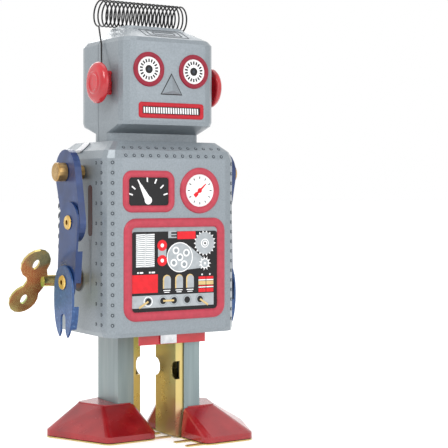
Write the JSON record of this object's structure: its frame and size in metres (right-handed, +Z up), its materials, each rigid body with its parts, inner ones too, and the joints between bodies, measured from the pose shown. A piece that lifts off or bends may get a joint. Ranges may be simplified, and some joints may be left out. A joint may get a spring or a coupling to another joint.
{
  "type": "wind-up tin toy",
  "caption": "Wind-up walking tin robot with a side key, hinged strip arms and two legs hung on an internal crankshaft.",
  "frame": {"origin": "middle of the toy's box, on the floor that it stands on", "axes": "+Z up, the face towards -Y, the toy's left side towards +X"},
  "size_m": [0.0938, 0.0669, 0.1754],
  "materials": {
    "body_tin": "satin grey-blue lithographed tin",
    "arm_tin": "glossy blue painted tin",
    "red_tin": "glossy red painted tin",
    "leg_tin": "satin grey-green painted tin",
    "ear_plastic": "glossy red",
    "zinc": "yellow passivated zinc plate",
    "brass": "dull brass",
    "steel": "bright steel",
    "wire": "black oxide spring wire"
  },
  "bodies": {
    "torso": {"torso_front_shell": "body_tin", "torso_back_shell": "body_tin", "torso_bottom_plate": "red_tin", "head_front_shell": "body_tin", "head_back_shell": "body_tin", "ear_left": "ear_plastic", "ear_right": "ear_plastic", "hair_spring": "wire", "shoulder_pin_left": "brass", "shoulder_pin_right": "brass", "motor_base": "steel", "motor_plate_left": "zinc", "motor_plate_right": "zinc", "train_bridge": "zinc", "frame_pillar_upper_front": "steel", "frame_pillar_upper_back": "steel", "frame_pillar_lower_back": "steel", "bridge_pillar_lower": "steel", "bridge_pillar_upper": "steel", "mainspring": "steel", "spring_post": "steel"},
    "crank": {"crankshaft": "steel", "crank_pinion": "brass", "crank_wheel": "brass"},
    "winder": {"winding_key": "zinc", "winding_arbor": "steel", "great_wheel": "brass", "ratchet_wheel": "steel"},
    "click": {"click": "steel"},
    "escape": {"escape_arbor": "steel", "escape_wheel": "brass"},
    "pallet": {"pallet": "steel"},
    "leg_left": {"leg_channel_left": "zinc", "leg_cover_left": "leg_tin", "foot_shell_left": "red_tin", "sole_plate_left": "zinc"},
    "leg_right": {"leg_channel_right": "zinc", "leg_cover_right": "leg_tin", "foot_shell_right": "red_tin", "sole_plate_right": "zinc"},
    "upper_arm_right": {"upper_arm_right": "arm_tin", "elbow_eyelet_right": "brass"},
    "forearm_right": {"forearm_right": "arm_tin", "wrist_eyelet_right": "brass"},
    "hand_right": {"hand_right": "arm_tin"},
    "upper_arm_left": {"upper_arm_left": "arm_tin", "elbow_eyelet_left": "brass"},
    "forearm_left": {"forearm_left": "arm_tin", "wrist_eyelet_left": "brass"},
    "hand_left": {"hand_left": "arm_tin"}
  },
  "joints": [
    {"name": "crank_turn", "type": "hinge", "parent": "torso", "child": "crank", "pos_m": [0.0057, 0.00355, 0.053], "axis": [1, 0, 0], "continuous": true},
    {"name": "leg_left_turn", "type": "hinge", "parent": "crank", "child": "leg_left", "pos_m": [0.0137, -0.00645, 0.053], "axis": [1, 0, 0], "continuous": true},
    {"name": "leg_right_turn", "type": "hinge", "parent": "crank", "child": "leg_right", "pos_m": [-0.0023, 0.01355, 0.053], "axis": [1, 0, 0], "continuous": true},
    {"name": "winder_turn", "type": "hinge", "parent": "torso", "child": "winder", "pos_m": [-0.0243, 0.01595, 0.0623], "axis": [1, 0, 0], "continuous": true},
    {"name": "escape_turn", "type": "hinge", "parent": "torso", "child": "escape", "pos_m": [0.0257, -0.00185, 0.0602], "axis": [1, 0, 0], "continuous": true},
    {"name": "pallet_rock", "type": "hinge", "parent": "torso", "child": "pallet", "pos_m": [0.0257, -0.00185, 0.0697], "axis": [1, 0, 0], "range_deg": [-4, 4]},
    {"name": "click_lift", "type": "hinge", "parent": "winder", "child": "click", "pos_m": [0.0237, 0.01449, 0.07057], "axis": [1, 0, 0], "range_deg": [0, 12], "stiffness_Nm_per_rad": 0.0005, "springref_deg": -2.86},
    {"name": "shoulder_right", "type": "hinge", "parent": "torso", "child": "upper_arm_right", "pos_m": [-0.0313, 0.00365, 0.1054], "axis": [-1, 0, 0], "range_deg": [0, 150]},
    {"name": "elbow_right", "type": "hinge", "parent": "upper_arm_right", "child": "forearm_right", "pos_m": [-0.0313, -0.00185, 0.0858], "axis": [-1, 0, 0], "range_deg": [0, 95]},
    {"name": "wrist_right", "type": "hinge", "parent": "forearm_right", "child": "hand_right", "pos_m": [-0.0313, 0.00065, 0.0625], "axis": [-1, 0, 0], "range_deg": [0, 60]},
    {"name": "shoulder_left", "type": "hinge", "parent": "torso", "child": "upper_arm_left", "pos_m": [0.0427, 0.00365, 0.1054], "axis": [-1, 0, 0], "range_deg": [-60, 150]},
    {"name": "elbow_left", "type": "hinge", "parent": "upper_arm_left", "child": "forearm_left", "pos_m": [0.0427, 0.00765, 0.0854], "axis": [-1, 0, 0], "range_deg": [-40, 90]},
    {"name": "wrist_left", "type": "hinge", "parent": "forearm_left", "child": "hand_left", "pos_m": [0.0427, 0.00665, 0.0617], "axis": [-1, 0, 0], "range_deg": [-60, 60]}
  ],
  "couplings": [
    {"joint": "leg_left_turn", "follows": "crank_turn", "ratio": -1},
    {"joint": "leg_right_turn", "follows": "crank_turn", "ratio": -1},
    {"joint": "winder_turn", "follows": "crank_turn", "ratio": -0.33333},
    {"joint": "escape_turn", "follows": "crank_turn", "ratio": -3.5}
  ]
}
